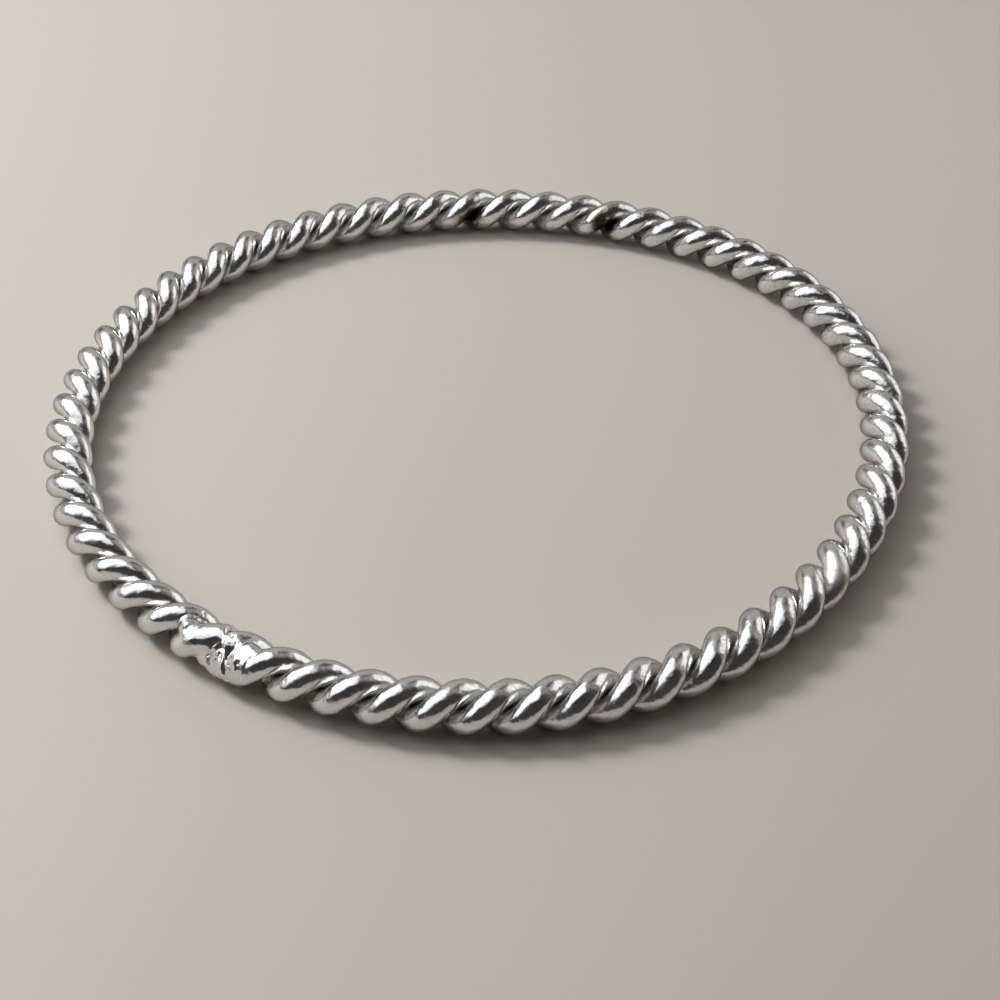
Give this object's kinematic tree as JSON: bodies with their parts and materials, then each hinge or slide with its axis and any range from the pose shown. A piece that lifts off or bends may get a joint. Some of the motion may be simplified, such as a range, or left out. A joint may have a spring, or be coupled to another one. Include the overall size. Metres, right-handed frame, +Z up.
{
  "type": "twisted wire bangle",
  "caption": "Rigid round bangle of thick polished silver wires twisted like a rope and closed by a soldered join. It slips over the hand and lies flat by itself.",
  "frame": {"origin": "middle of the ring, at the height of the surface that the bangle lies on", "axes": "+Z up, along the axis that the wrist goes through; -Y is the side nearest the camera in the picture, with the join front left"},
  "size_m": [0.074, 0.0722, 0.0041],
  "materials": {
    "silver_wire": "hand-polished sterling silver",
    "silver_solder": "silver solder, polished less evenly than the wires"
  },
  "bodies": {
    "root": {"wire_one": "silver_wire", "wire_two": "silver_wire", "solder_join": "silver_solder"}
  },
  "joints": []
}
